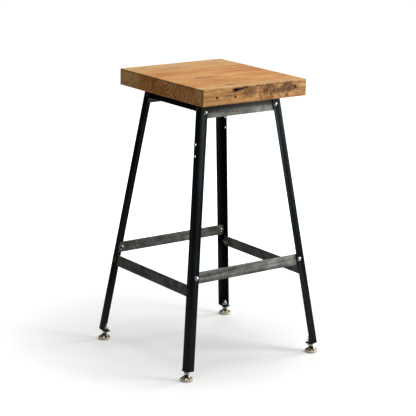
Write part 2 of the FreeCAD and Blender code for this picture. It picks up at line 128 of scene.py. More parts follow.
class Paint:
    """A material whose nodes are made by short calls. Sockets and plain numbers mix freely."""

    def __init__(self, name):
        self.material = bpy.data.materials.new(name)
        self.material.use_nodes = True
        self.tree = self.material.node_tree
        self.tree.nodes.clear()
        self.shader = self.node("ShaderNodeBsdfPrincipled")
        output = self.node("ShaderNodeOutputMaterial")
        self.tree.links.new(self.shader.outputs[0], output.inputs[0])
        self.coords = self.node("ShaderNodeTexCoord")
        self.position = self.coords.outputs["Object"]

    def node(self, kind, **settings):
        made = self.tree.nodes.new(kind)
        for key, value in settings.items():
            setattr(made, key, value)
        return made

    def put(self, socket, value):
        if isinstance(value, bpy.types.NodeSocket):
            self.tree.links.new(value, socket)
        else:
            socket.default_value = value

    def math(self, operation, a, b=0.0, c=0.0, clamp=False):
        n = self.node("ShaderNodeMath", operation=operation, use_clamp=clamp)
        for socket, value in zip(n.inputs, (a, b, c)):
            self.put(socket, value)
        return n.outputs[0]

    def plus(self, a, b):
        return self.math("ADD", a, b)

    def minus(self, a, b):
        return self.math("SUBTRACT", a, b)

    def times(self, a, b):
        return self.math("MULTIPLY", a, b)

    def sway(self, value, size):
        """Noise, or anything else round 0.5, made to swing both ways round 0."""
        return self.times(self.minus(value, 0.5), size)

    def vector(self, operation, a, b=(0, 0, 0)):
        n = self.node("ShaderNodeVectorMath", operation=operation)
        self.put(n.inputs[0], a)
        self.put(n.inputs[1], b)
        return n.outputs["Value" if operation in ("LENGTH", "DOT_PRODUCT") else "Vector"]

    def reach(self, centre, radii):
        """Distance from a point, counted in the radii of an ellipsoid round it."""
        offset = self.vector("SUBTRACT", self.position, centre)
        return self.vector("LENGTH", self.vector("MULTIPLY", offset, tuple(1.0 / r for r in radii)))

    def split(self, vector):
        n = self.node("ShaderNodeSeparateXYZ")
        self.put(n.inputs[0], vector)
        return n.outputs[0], n.outputs[1], n.outputs[2]

    def noise(self, scale, detail=3.0, rough=0.55, offset=(0, 0, 0), distort=0.0):
        """Noise of the object position, with its own scale per axis, in cells per metre."""
        shifted = self.vector("ADD", self.position, offset)
        settings = {
            "Vector": self.vector("MULTIPLY", shifted, scale),
            "Scale": 1.0, "Detail": detail, "Roughness": rough, "Distortion": distort,
        }
        n = self.node("ShaderNodeTexNoise")
        for key, value in settings.items():
            self.put(n.inputs[key], value)
        return n.outputs[0]

    def span(self, value, low, high, out_low=0.0, out_high=1.0):
        """A smooth step, from out_low where the value is low to out_high where it is high."""
        n = self.node("ShaderNodeMapRange", interpolation_type="SMOOTHSTEP")
        for socket, v in zip(n.inputs, (value, low, high, out_low, out_high)):
            self.put(socket, v)
        return n.outputs[0]

    def ramp(self, value, stops):
        n = self.node("ShaderNodeValToRGB")
        self.put(n.inputs[0], value)
        points = n.color_ramp.elements
        while len(points) < len(stops):
            points.new(0.5)
        for point, (place, colour) in zip(points, stops):
            point.position = place
            point.color = colour
        return n.outputs[0]

    def mix(self, amount, a, b, blend="MIX"):
        n = self.node("ShaderNodeMix", data_type="RGBA", blend_type=blend)
        self.put(n.inputs[0], amount)
        self.put(n.inputs[6], a)
        self.put(n.inputs[7], b)
        return n.outputs[2]

    def bump(self, height, strength, distance):
        n = self.node("ShaderNodeBump")
        n.inputs["Strength"].default_value = strength
        n.inputs["Distance"].default_value = distance
        self.put(n.inputs["Height"], height)
        return n.outputs[0]

    def done(self, colour, rough, metal, normal, **fixed):
        self.put(self.shader.inputs["Base Color"], colour)
        self.put(self.shader.inputs["Roughness"], rough)
        self.put(self.shader.inputs["Metallic"], metal)
        self.put(self.shader.inputs["Normal"], normal)
        for key, value in fixed.items():
            self.shader.inputs[key.replace("_", " ")].default_value = value
        return self.material


# ------------------------------------------------------------------ wood

SEAT_LOW, SEAT_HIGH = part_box("seat")
SEAT_MID = (SEAT_LOW + SEAT_HIGH) / 2
SEAT_HALF = (SEAT_HIGH - SEAT_LOW) / 2
FRONT_Y = SEAT_LOW.y
TOP_Z = SEAT_HIGH.z
# The heart of the tree ran along X, just above the top face.
HEART_Y = -0.021
HEART_Z = TOP_Z + 0.0045
RING = 0.0105        # width of one growth ring
RING_START = 0.74    # where in a ring the counting starts
BELL = 2.718         # base of the bell curve that pushes the rings round a knot
PLAIN_HEART = (0.0135, 0.0195)       # distances from the heart between which the rings come in
END_MIDDLE = -0.035                  # the rings of an end face fade on both sides of this Y,
END_PLAIN = (0.098, 0.150)           # between these distances from it
PALE_FAR = (0.075, 0.120)            # Y ranges over which the wood turns pale
PALE_NEAR = (-0.145, -0.175)
ARRIS_SHADE = (0.0050, 0.0016)               # depth of the painted shade along the end grain's rounded top and side edges
ROUGH_START = (0.020, 0.055)         # X ranges over which the rough sawn part of a long edge
ROUGH_END = (0.150, 0.128)           # comes in and goes out again
# painted shade: a darkening for the end towards +X, which faces the lights
PLUS_X_PAINTED_SHADE = (0.62, 0.56, 0.50, 1)
LONG_EDGE_TINT = (1.26, 1.21, 1.20, 1)

# Nail holes in the long edges: x, depth below the top face, radius.
FRONT_NAILS = ((-0.1231, 0.0242, 0.0026), (-0.0654, 0.0262, 0.0025), (0.1294, 0.0168, 0.0026))
BACK_NAILS = ((0.094, 0.0300, 0.0024), (-0.118, 0.0150, 0.0023))
# Torn grain in the front edge: x, depth below the top face, width and height of the tear.
TEARS = (
    (0.0335, 0.0195, 0.0013, 0.0036), (0.0395, 0.0190, 0.0012, 0.0022),
    (0.0590, 0.0230, 0.0010, 0.0040), (0.0690, 0.0130, 0.0011, 0.0026),
    (0.0720, 0.0190, 0.0012, 0.0026), (0.0880, 0.0270, 0.0013, 0.0030),
    (0.0925, 0.0235, 0.0010, 0.0024), (0.1070, 0.0160, 0.0013, 0.0030),
    (0.1125, 0.0225, 0.0011, 0.0050), (0.0955, 0.0080, 0.0012, 0.0026),
    (0.1180, 0.0120, 0.0028, 0.0008), (0.0485, 0.0285, 0.0010, 0.0034),
)
# Soft stains: centre, radii, strength. A stain fades out at its radii.
BLACK_STAINS = [
    ((-0.064, FRONT_Y, TOP_Z - 0.0083), (0.012, 0.013, 0.0058), 1.00),
    ((-0.050, FRONT_Y, TOP_Z - 0.0074), (0.019, 0.010, 0.0050), 0.96),
    ((-0.037, FRONT_Y, TOP_Z - 0.0050), (0.020, 0.010, 0.0044), 0.82),
    ((0.010, FRONT_Y, TOP_Z - 0.0040), (0.026, 0.008, 0.0016), 0.80),
    ((0.036, FRONT_Y, TOP_Z - 0.0056), (0.014, 0.008, 0.0012), 0.60),
    ((-0.056, -0.157, TOP_Z), (0.018, 0.0050, 0.006), 0.92),
    ((-0.083, -0.166, TOP_Z), (0.026, 0.0040, 0.006), 0.36),
    ((-0.030, -0.150, TOP_Z), (0.022, 0.0030, 0.006), 0.30),
    ((-0.142, FRONT_Y, TOP_Z - 0.0305), (0.030, 0.006, 0.0012), 0.42),
    ((0.118, FRONT_Y, TOP_Z - 0.0140), (0.016, 0.006, 0.0018), 0.62),
    ((0.060, -FRONT_Y, TOP_Z - 0.0210), (0.014, 0.010, 0.0060), 0.85),
]
BROWN_STAINS = [
    ((-0.020, FRONT_Y, TOP_Z - 0.0150), (0.028, 0.010, 0.0160), 0.70),
    ((-0.075, FRONT_Y, TOP_Z - 0.0125), (0.046, 0.010, 0.0040), 0.50),
    ((-0.086, FRONT_Y, TOP_Z - 0.0225), (0.018, 0.010, 0.0060), 0.46),
    ((-0.125, FRONT_Y, TOP_Z - 0.0130), (0.030, 0.010, 0.0024), 0.40),
    ((0.044, FRONT_Y, TOP_Z - 0.0110), (0.022, 0.010, 0.0130), 0.60),
    ((0.060, FRONT_Y, TOP_Z - 0.0240), (0.018, 0.010, 0.0090), 0.48),
    ((0.090, FRONT_Y, TOP_Z - 0.0200), (0.028, 0.010, 0.0150), 0.58),
    ((0.104, FRONT_Y, TOP_Z - 0.0070), (0.026, 0.012, 0.0080), 0.90),
    ((0.122, FRONT_Y, TOP_Z - 0.0150), (0.020, 0.010, 0.0110), 0.72),
    ((0.142, FRONT_Y, TOP_Z - 0.0060), (0.010, 0.008, 0.0050), 0.50),
    ((-0.075, -0.041, TOP_Z), (0.016, 0.0060, 0.006), 0.75),
    ((-0.055, -0.047, TOP_Z), (0.040, 0.0110, 0.006), 0.40),
    ((0.060, -FRONT_Y, TOP_Z - 0.0210), (0.030, 0.012, 0.0120), 0.70),
]
# Every nail has stained the wood round it, and every tear holds a little dirt.
for nails, edge_y, spread in ((FRONT_NAILS, FRONT_Y, 1.7), (BACK_NAILS, -FRONT_Y, 1.8)):
    for n_x, n_drop, n_radius in nails:
        halo = n_radius * spread
        BLACK_STAINS.append(((n_x, edge_y, TOP_Z - n_drop), (halo, 0.014, halo), 1.0))
for t_x, t_drop, t_wide, t_high in TEARS:
    radii = (t_wide * 3.2, 0.008, t_high * 1.9)
    BLACK_STAINS.append(((t_x, FRONT_Y, TOP_Z - t_drop), radii, 0.34))
# Places where the grain parts round a knot: centre, radii, how many rings it is pushed.
KNOTS = (
    ((-0.058, FRONT_Y, TOP_Z - 0.0083), (0.026, 0.030, 0.0110), 1.5),
    ((-0.018, FRONT_Y, TOP_Z - 0.0160), (0.020, 0.020, 0.0140), 1.9),
    ((0.060, -FRONT_Y, TOP_Z - 0.0210), (0.026, 0.030, 0.0130), 1.8),
    ((-0.073, -0.041, TOP_Z), (0.030, 0.0120, 0.020), 1.2),
    ((0.085, 0.066, TOP_Z), (0.036, 0.0130, 0.020), 1.0),
)


def patches(p, places, ragged):
    """How strongly any of the soft patches covers a point."""
    total = 0.0
    for centre, radii, strength in places:
        reach = p.plus(p.reach(centre, radii), ragged)
        total = p.math("MAXIMUM", total, p.span(reach, 1.15, 0.40, 0.0, strength))
    return total


def wood():
    p = Paint("old_pine")
    x, y, z = p.split(p.position)
    normal_x, normal_y, _ = p.split(p.coords.outputs["Normal"])
    end = p.span(p.math("ABSOLUTE", normal_x), 0.45, 0.75)
    long_edge = p.span(p.math("ABSOLUTE", normal_y), 0.45, 0.75)
    drop = p.minus(TOP_Z, z)

    # growth rings round the heart, wandering slowly along the plank and parting round knots
    slow_y = p.sway(p.noise((2.0, 9, 9), 2.0, 0.5), 0.022)
    slow_z = p.sway(p.noise((2.4, 11, 11), 2.0, 0.5, (7, 3, 1)), 0.020)
    quick = p.sway(p.noise((9, 62, 62), 3.0, 0.55, (1, 9, 4)), 0.85)
    off_y = p.plus(p.minus(y, HEART_Y), slow_y)
    off_z = p.plus(p.minus(z, HEART_Z), slow_z)
    square = p.plus(p.times(off_y, off_y), p.times(off_z, off_z))
    radius = p.math("SQRT", square)
    phase = p.plus(p.math("DIVIDE", radius, RING), quick)
    for centre, radii, push in KNOTS:
        reach = p.reach(centre, radii)
        bell = p.math("POWER", BELL, p.times(p.times(reach, reach), -1.0))
        phase = p.plus(phase, p.times(bell, push))
    ring = p.math("FRACT", p.plus(phase, RING_START))
    late = p.ramp(ring, (
        (0.0, grey(0.10)), (0.10, grey(0.0)), (0.50, grey(0.16)), (0.80, grey(0.80)),
        (0.93, grey(1.0)), (1.0, grey(0.10)),
    ))
    # the wood next to the heart shows hardly any rings, nor do the two sides of an end face
    reach_y = p.math("ABSOLUTE", p.plus(y, -END_MIDDLE))
    plain = p.times(end, p.span(reach_y, *END_PLAIN, 0.0, 0.8))
    late = p.times(late, p.span(radius, *PLAIN_HEART, 0.1, 1.0))
    late = p.times(late, p.minus(1.0, plain))
    fine_ring = p.math("FRACT", p.times(phase, 3.0))
    fine_late = p.span(fine_ring, 0.45, 0.95)

    # broad colour bands along the plank
    bands = p.noise((5.0, 24, 30), 6.0, 0.66, (0.3, 0.1, 0.0), 0.5)
    heart = p.ramp(bands, (
        (0.30, srgb(230, 182, 112)), (0.43, srgb(220, 158, 84)), (0.55, srgb(208, 137, 62)),
        (0.68, srgb(172, 100, 42)),
    ))
    pale = p.ramp(bands, ((0.34, srgb(224, 184, 122)), (0.66, srgb(200, 150, 88))))
    y_seen = p.plus(y, p.sway(p.noise((3, 6, 6), 2.0), 0.07))
    far = p.span(y_seen, *PALE_FAR)
    near = p.span(y_seen, *PALE_NEAR)
    outer = p.math("MAXIMUM", p.times(far, 0.78), p.times(near, 0.72))
    colour = p.mix(outer, heart, pale)

    # dark late wood, fine fibres and long streaks
    ring_depth = p.plus(0.30, p.times(end, 0.60))
    ring_depth = p.plus(ring_depth, p.times(long_edge, 0.16))
    colour = p.mix(p.times(late, ring_depth), colour, srgb(112, 64, 30))
    fine_depth = p.minus(0.14, p.times(end, 0.06))
    colour = p.mix(p.times(fine_late, fine_depth), colour, srgb(120, 70, 34))
    fibres = p.noise((16, 1000, 1000), 4.0, 0.65)
    fibre_tone = p.ramp(fibres, ((0.30, (0.68, 0.64, 0.58, 1)), (0.62, grey(1.08))))
    colour = p.mix(0.62, colour, fibre_tone, "MULTIPLY")
    streaks = p.noise((5.5, 190, 190), 4.0, 0.65, (2, 5, 8))
    colour = p.mix(p.span(streaks, 0.56, 0.70, 0.0, 0.50), colour, srgb(110, 60, 26))
    colour = p.mix(p.span(streaks, 0.42, 0.30, 0.0, 0.40), colour, srgb(236, 200, 150))

    # short soft flecks
    flecks = p.noise((13, 130, 130), 4.0, 0.66, (6, 2, 4), 0.1)
    colour = p.mix(p.span(flecks, 0.52, 0.68, 0.0, 0.50), colour, srgb(142, 84, 42))
    colour = p.mix(p.span(flecks, 0.46, 0.34, 0.0, 0.44), colour, srgb(234, 192, 136))

    # sawn end grain: pores, pale and dark shakes, and painted shade along its rounded edges
    pores = p.noise((300, 1300, 1300), 2.0, 0.7, (4, 4, 4))
    # painted light: besides the pores, this paints all end grain brighter than the wood is, for the
    # end towards -X that the lights hardly reach
    pores_and_painted_light = p.ramp(pores, ((0.35, (1.02, 1.00, 0.98, 1)), (0.65, (1.56, 1.56, 1.62, 1))))
    end_colour = p.mix(1.0, colour, pores_and_painted_light, "MULTIPLY")
    shakes = p.noise((4, 330, 40), 3.0, 0.6, (9, 1, 3))
    shaken = p.plus(0.30, p.span(y, -0.070, -0.090, 0.0, 0.35))
    shaken = p.times(shaken, p.span(y, -0.160, -0.140))
    shaken = p.plus(shaken, 0.12)
    shaken = p.times(p.span(shakes, 0.55, 0.66), shaken)
    end_colour = p.mix(shaken, end_colour, srgb(226, 192, 150))
    end_colour = p.mix(p.span(shakes, 0.44, 0.32, 0.0, 0.45), end_colour, srgb(70, 42, 22))
    # painted shade: the end face is darkened along its rounded top and side edges
    side_gap = p.minus(SEAT_HALF.y, p.math("ABSOLUTE", y))
    arris_shade = p.math("MINIMUM", drop, side_gap)
    end_colour = p.mix(p.span(arris_shade, *ARRIS_SHADE, 0.0, 0.66), end_colour, srgb(52, 32, 18))
    # painted shade: the end towards +X, which faces the lights, is painted darker and browner than
    # the other
    plus_x_painted_shade = p.times(p.span(normal_x, 0.3, 0.7), 0.85)
    end_colour = p.mix(plus_x_painted_shade, end_colour, PLUS_X_PAINTED_SHADE, "MULTIPLY")
    colour = p.mix(end, colour, end_colour)

    # weathered long edges: brown mottling, saw lines across the grain and grime
    mottle = p.noise((70, 40, 95), 5.0, 0.68, (5, 1, 2))
    drift = p.times(p.noise((9, 9, 20), 2.0, 0.5, (3, 3, 3)), 0.05)
    zone = p.span(p.plus(x, drift), *ROUGH_START)
    zone = p.times(zone, p.span(x, *ROUGH_END))
    zone = p.plus(0.25, p.times(zone, 0.75))
    zone = p.times(zone, long_edge)
    brown = p.times(p.span(mottle, 0.46, 0.64), zone)
    colour = p.mix(p.times(brown, 0.80), colour, srgb(114, 62, 38))
    saw = p.noise((520, 3, 60), 3.0, 0.65, (3, 2, 6))
    cuts = p.times(p.span(saw, 0.53, 0.68), zone)
    colour = p.mix(p.times(cuts, 0.72), colour, srgb(72, 42, 24))
    pale_spots = p.times(p.span(mottle, 0.42, 0.30), zone)
    colour = p.mix(p.times(pale_spots, 0.50), colour, srgb(226, 182, 128))
    smears = p.noise((11, 20, 110), 4.0, 0.65, (8, 8, 1))
    grime = p.times(long_edge, p.span(smears, 0.52, 0.68))
    colour = p.mix(p.times(grime, 0.46), colour, srgb(130, 80, 48))
    colour = p.mix(p.times(long_edge, 0.9), colour, LONG_EDGE_TINT, "MULTIPLY")

    # stains, with rough outlines
    ragged = p.sway(p.noise((120, 260, 260), 4.0, 0.65), 1.3)
    stain_brown = patches(p, BROWN_STAINS, ragged)
    colour = p.mix(p.times(stain_brown, 0.88), colour, srgb(92, 54, 34))
    stain = patches(p, BLACK_STAINS, p.times(ragged, 0.7))
    colour = p.mix(stain, colour, srgb(24, 14, 10))

    # height: late wood stands proud, fibres, saw lines and stains cut in
    height = p.times(late, 0.45)
    height = p.plus(height, p.times(fibres, 0.55))
    height = p.minus(height, p.times(cuts, 0.8))
    height = p.plus(height, p.times(mottle, 0.6))
    height = p.minus(height, p.times(stain, 0.8))
    normal = p.bump(height, 0.60, 0.0004)
    rough = p.plus(0.56, p.times(fibres, 0.20))
    rough = p.plus(rough, p.times(end, 0.14))
    return p.done(colour, rough, 0.0, normal, Specular_IOR_Level=0.22)


# ------------------------------------------------------------------ metals and plastic

SEAT_SHADOW_LOW, SEAT_SHADOW_HIGH = 0.6815, 0.6985    # heights between which the painted shadow of the seat comes in
DUST_TOP, DUST_FULL = 0.240, 0.040    # heights between which the legs grow dusty
RUST_FADE = 0.022                     # length over which the rust of a bar comes in


def bar_steel(name, axis, seed, rust_start, seat_shadow=0.0):
    """Hot rolled bar with mill scale; axis is the index of the bar's long direction.
    Rust begins at rust_start from the middle of the bar, towards both ends.
    The last argument is how dark the painted shadow of the seat makes the bar's top."""
    p = Paint(name)
    shift = (seed, seed * 0.7, seed * 1.3)
    cloud = p.noise((26, 26, 26), 5.0, 0.62, shift)
    speck = p.noise((420, 420, 420), 3.0, 0.7, shift)
    stretch = [520, 520, 520]
    stretch[axis] = 9
    lines = p.noise(tuple(stretch), 3.0, 0.6, shift)
    tone = p.plus(p.times(cloud, 0.55), p.times(speck, 0.45))
    colour = p.ramp(tone, (
        (0.36, srgb(52, 51, 48)), (0.46, srgb(88, 88, 85)), (0.55, srgb(115, 117, 115)),
        (0.68, srgb(164, 168, 166)),
    ))
    colour = p.mix(p.span(lines, 0.56, 0.74, 0.0, 0.45), colour, srgb(72, 72, 68))
    parts = p.split(p.position)
    blot = p.noise((60, 60, 60), 4.0, 0.65, (seed + 4, 2, 9))
    along = p.plus(p.math("ABSOLUTE", parts[axis]), p.sway(blot, 0.06))
    ends = p.times(p.span(along, rust_start, rust_start + RUST_FADE), 0.62)
    rust = p.math("ADD", p.span(blot, 0.46, 0.66, 0.0, 0.14), ends, clamp=True)
    rust_tone = p.ramp(speck, (
        (0.36, srgb(70, 48, 32)), (0.52, srgb(112, 88, 62)), (0.66, srgb(146, 122, 92)),
    ))
    colour = p.mix(rust, colour, rust_tone)
    if seat_shadow:
        # painted shadow: the seat's shadow is painted on the bar's top as a near-black band
        shadow_line = p.plus(parts[2], p.sway(cloud, 0.012))
        colour = p.mix(p.span(shadow_line, SEAT_SHADOW_LOW, SEAT_SHADOW_HIGH, 0.0, seat_shadow), colour, srgb(13, 10, 8))
    height = p.plus(p.times(speck, 0.6), p.times(lines, 0.4))
    normal = p.bump(height, 0.35, 0.0003)
    rough = p.plus(0.40, p.times(cloud, 0.26))
    rough = p.plus(rough, p.times(rust, 0.25))
    metal = p.span(rust, 0.0, 0.6, 0.62, 0.15)
    return p.done(colour, rough, metal, normal, Specular_IOR_Level=0.45)


def black_steel():
    p = Paint("blackened_steel")
    cloud = p.noise((20, 20, 7), 5.0, 0.6)
    streak = p.noise((330, 330, 5), 3.0, 0.6, (3, 1, 2))
    speck = p.noise((600, 600, 600), 2.0, 0.7, (6, 6, 6))
    tone = p.plus(p.times(cloud, 0.6), p.times(streak, 0.4))
    colour = p.ramp(tone, (
        (0.34, srgb(9, 12, 15)), (0.50, srgb(15, 22, 26)), (0.64, srgb(23, 33, 39)),
        (0.78, srgb(46, 58, 66)),
    ))
    brown = p.span(p.noise((34, 34, 20), 4.0, 0.65, (9, 2, 5)), 0.60, 0.76, 0.0, 0.45)
    colour = p.mix(brown, colour, srgb(30, 25, 22))
    scuff = p.span(speck, 0.66, 0.76, 0.0, 0.35)
    colour = p.mix(scuff, colour, srgb(76, 80, 80))
    z = p.split(p.position)[2]
    patchy = p.span(cloud, 0.34, 0.62, 0.35, 1.0)
    dust = p.times(p.span(z, DUST_TOP, DUST_FULL, 0.0, 0.62), patchy)
    colour = p.mix(dust, colour, srgb(58, 64, 58))
    height = p.plus(p.times(speck, 0.5), p.times(streak, 0.5))
    normal = p.bump(height, 0.28, 0.0003)
    rough = p.plus(0.30, p.times(tone, 0.30))
    return p.done(colour, rough, 0.55, normal, Specular_IOR_Level=0.12)


def zinc(name, shaded_ends=0.0, shaded_all=0.0):
    """Bright plating. The next two numbers paint shade: the first darkens the fasteners on the two
    end faces, the second darkens them all, and both roughen the plating.
    """
    p = Paint(name)
    cloud = p.noise((160, 160, 160), 4.0, 0.6)
    speck = p.noise((1400, 1400, 1400), 2.0, 0.7)
    colour = p.ramp(cloud, (
        (0.34, srgb(178, 184, 184)), (0.52, srgb(206, 214, 216)), (0.70, srgb(226, 230, 226)),
    ))
    warm = p.span(p.noise((70, 70, 70), 3.0, 0.6, (5, 5, 1)), 0.52, 0.70, 0.0, 0.5)
    colour = p.mix(warm, colour, srgb(222, 204, 160))
    x, y, _ = p.split(p.position)
    on_end = p.math("GREATER_THAN", p.math("ABSOLUTE", x), p.math("ABSOLUTE", y))
    # painted shade: the fasteners are darkened and their plating roughened, on the end faces for the
    # bolts and everywhere for the fasteners under the seat
    dull = p.math("MAXIMUM", shaded_all, p.times(on_end, shaded_ends))
    colour = p.mix(dull, colour, srgb(46, 43, 38))
    normal = p.bump(speck, 0.18, 0.0002)
    rough = p.plus(0.16, p.times(cloud, 0.18))
    rough = p.plus(rough, p.times(dull, 0.26))
    return p.done(colour, rough, 1.0, normal)


def nickel():
    p = Paint("polished_nickel")
    cloud = p.noise((90, 90, 90), 4.0, 0.6)
    rings = p.noise((260, 260, 2600), 2.0, 0.6, (2, 8, 3))
    colour = p.ramp(cloud, (
        (0.36, srgb(112, 98, 78)), (0.60, srgb(168, 154, 132)), (0.74, srgb(206, 196, 176)),
    ))
    normal = p.bump(rings, 0.12, 0.0002)
    rough = p.plus(0.10, p.times(cloud, 0.18))
    return p.done(colour, rough, 1.0, normal)


def nylon():
    p = Paint("cream_nylon")
    cloud = p.noise((120, 120, 120), 4.0, 0.6)
    colour = p.ramp(cloud, ((0.36, srgb(243, 234, 206)), (0.64, srgb(252, 246, 226))))
    z = p.split(p.position)[2]
    dirt = p.times(p.span(z, 0.0030, 0.0, 0.0, 0.75), p.span(cloud, 0.36, 0.60))
    colour = p.mix(dirt, colour, srgb(176, 158, 126))
    normal = p.bump(p.noise((1500, 1500, 1500), 2.0, 0.6), 0.12, 0.0002)
    rough = p.plus(0.38, p.times(cloud, 0.20))
    return p.done(
        colour, rough, 0.0, normal, Subsurface_Weight=0.12, Subsurface_Radius=(0.004, 0.003, 0.002)
    )


WOOD = wood()
BAR_X = bar_steel("hot_rolled_bar_x", 0, 1.0, 0.148)
BAR_Y = bar_steel("hot_rolled_bar_y", 1, 6.0, 0.140)
# the last number paints the seat's shadow on the aprons' tops
APRON = bar_steel("hot_rolled_apron", 0, 3.0, 0.098, 0.86)
BLACK = black_steel()
ZINC = zinc("zinc_plate")
# painted shade: the bolts on the end faces and the fasteners under the seat are darkened
BOLT_ZINC = zinc("zinc_bolts", shaded_ends=0.92)
SHADED_ZINC = zinc("zinc_painted_shade", shaded_all=0.80)
NICKEL = nickel()
NYLON = nylon()


# ------------------------------------------------------------------ mesh helpers

WELD = 0.000002       # points nearer than this are one
COPLANAR = 0.6        # degrees; faces that turn by less are merged before bevelling
SHARP_EDGE = 32.0     # degrees; edges that turn by more are bevelled
TOUCH = 1e-9


def new_piece(name, mesh, material, body, replaced):
    """An object that rides on a body and stands for the CAD nodes it replaces."""
    mesh.materials.clear()
    mesh.materials.append(material)
    piece = bpy.data.objects.new(name, mesh)
    SCENE.collection.objects.link(piece)
    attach(piece, body)
    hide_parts(*replaced)


def shade(mesh, angle):
    """Smooth shading, sharp across edges that turn by more than an angle in degrees."""
    mesh.shade_smooth()
    mesh.set_sharp_from_angle(angle=math.radians(angle))


def mesh_from(bm, name):
    """The mesh of a bmesh, which is used up."""
    mesh = bpy.data.meshes.new(name)
    bm.to_mesh(mesh)
    bm.free()
    return mesh


def welded(node):
    """A CAD node's mesh as a bmesh, with the points its faces share made one."""
    bm = bmesh.new()
    bm.from_mesh(NODES[node].data)
    bmesh.ops.remove_doubles(bm, verts=bm.verts, dist=WELD)
    return bm


def applied(mesh, kind, **settings):
    """The mesh after one modifier."""
    work = bpy.data.objects.new("work", mesh)
    SCENE.collection.objects.link(work)
    modifier = work.modifiers.new(kind.lower(), kind)
    for key, value in settings.items():
        setattr(modifier, key, value)
    graph = bpy.context.evaluated_depsgraph_get()
    result = bpy.data.meshes.new_from_object(work.evaluated_get(graph), depsgraph=graph)
    bpy.data.objects.remove(work)
    return result


def carved(mesh, cutter_mesh):
    """The mesh with another one cut out of it."""
    cutter = bpy.data.objects.new("cutter", cutter_mesh)
    SCENE.collection.objects.link(cutter)
    cut = applied(mesh, "BOOLEAN", operation="DIFFERENCE", object=cutter, solver="EXACT")
    bpy.data.objects.remove(cutter)
    return cut


def softened(node, width, material, body="frame"):
    """The CAD node's own shape with its sharp edges eased, as a piece that replaces it."""
    bm = welded(node)
    bmesh.ops.dissolve_limit(
        bm, angle_limit=math.radians(COPLANAR), verts=bm.verts, edges=bm.edges
    )
    result = applied(
        mesh_from(bm, node), "BEVEL", width=width, segments=2, limit_method="ANGLE",
        angle_limit=math.radians(SHARP_EDGE), use_clamp_overlap=True, miter_outer="MITER_ARC",
    )
    shade(result, SHARP_EDGE)
    new_piece(node + "_piece", result, material, body, (node,))


def smooth_profile(points, steps):
    """A Catmull-Rom curve through outline points, with so many steps between each two."""
    out = []
    count = len(points)
    for i in range(count - 1):
        a = points[max(i - 1, 0)]
        b, c = points[i], points[i + 1]
        d = points[min(i + 2, count - 1)]
        for s in range(steps):
            t = s / steps
            out.append(tuple(
                0.5 * (2 * b[k] + (c[k] - a[k]) * t
                       + (2 * a[k] - 5 * b[k] + 4 * c[k] - d[k]) * t * t
                       + (3 * b[k] - a[k] - 3 * c[k] + d[k]) * t ** 3)
                for k in (0, 1)
            ))
    out.append(points[-1])
    return out


def turned(profile, sides, closed=False, thread=None):
    """A turned mesh from (radius, height) points. thread is (start, stop, pitch, depth, step),
    and closed joins the last point to the first, as a ring needs."""
    rows = list(profile)
    if thread:
        start, stop, pitch, depth, step = thread
        rows = [p for p in rows if not start < p[1] < stop]
        ends = [p for p in rows if min(abs(p[1] - start), abs(p[1] - stop)) < WELD / 2]
        radius = max(p[0] for p in ends)
        count = int((stop - start) / step)
        extra = [(radius, start + (stop - start) * i / count) for i in range(1, count)]
        index = max(i for i, p in enumerate(rows) if p[1] <= start + TOUCH)
        rows = rows[: index + 1] + extra + rows[index + 1:]
    bm = bmesh.new()
    rings = []
    for r, h in rows:
        if r < TOUCH:
            rings.append([bm.verts.new((0, 0, h))])
            continue
        ring = []
        for s in range(sides):
            a = 2 * math.pi * s / sides
            rr = r
            if thread and start < h < stop:
                part = (h / pitch - s / sides) % 1.0
                fade = min(1.0, (h - start) / pitch, (stop - h) / pitch)
                rr = r - depth * abs(2 * part - 1) * fade
            ring.append(bm.verts.new((rr * math.cos(a), rr * math.sin(a), h)))
        rings.append(ring)
    pairs = list(zip(rings, rings[1:]))
    if closed:
        pairs.append((rings[-1], rings[0]))
    for low, high in pairs:
        for s in range(sides):
            t = (s + 1) % sides
            if len(low) == 1:
                bm.faces.new((low[0], high[t], high[s]))
            elif len(high) == 1:
                bm.faces.new((low[s], low[t], high[0]))
            else:
                bm.faces.new((low[s], low[t], high[t], high[s]))
    bmesh.ops.recalc_face_normals(bm, faces=bm.faces)
    return mesh_from(bm, "turned")


def aimed(origin, direction):
    """A matrix that takes +Z to a direction, at an origin."""
    turn = Vector((0, 0, 1)).rotation_difference(Vector(direction)).to_matrix().to_4x4()
    return Matrix.Translation(origin) @ turn


def joined(meshes, name):
    """Several meshes kept as separate shells of one mesh."""
    bm = bmesh.new()
    for mesh in meshes:
        bm.from_mesh(mesh)
    return mesh_from(bm, name)


# ------------------------------------------------------------------ seat

NEAR_EDGE = (0.0, 0.0005, 0.0011, 0.0018, 0.0026, 0.0036, 0.0050, 0.0068)
GRID_STEPS = (0.0030, 0.0036, 0.0020)    # grid spacing along X, Y and Z away from the edges
EASE = 0.0026            # mean radius of the worn upper edges
EASE_CHANGE = 0.0012     # how far that radius wanders
EASE_LEAST = 0.0010
CORNER_R = 0.0040        # rounding of the four upright corners, seen from above
UNEVEN = 0.00022
SUNK = 0.00020           # keeps the uneven faces inside the CAD box
FLAT_UNDER = 0.004       # height above the under face that stays even
NAIL_SIDES = 14
TEAR_DEPTH = 0.0011


def lines_between(half, step):
    """Grid lines along one side of the seat, close together near its edges."""
    inner = half - NEAR_EDGE[-1]
    count = max(2, round(2 * inner / step))
    middle = [-inner + 2 * inner * i / count for i in range(1, count)]
    return [-half + e for e in NEAR_EDGE] + middle + [half - e for e in reversed(NEAR_EDGE)]


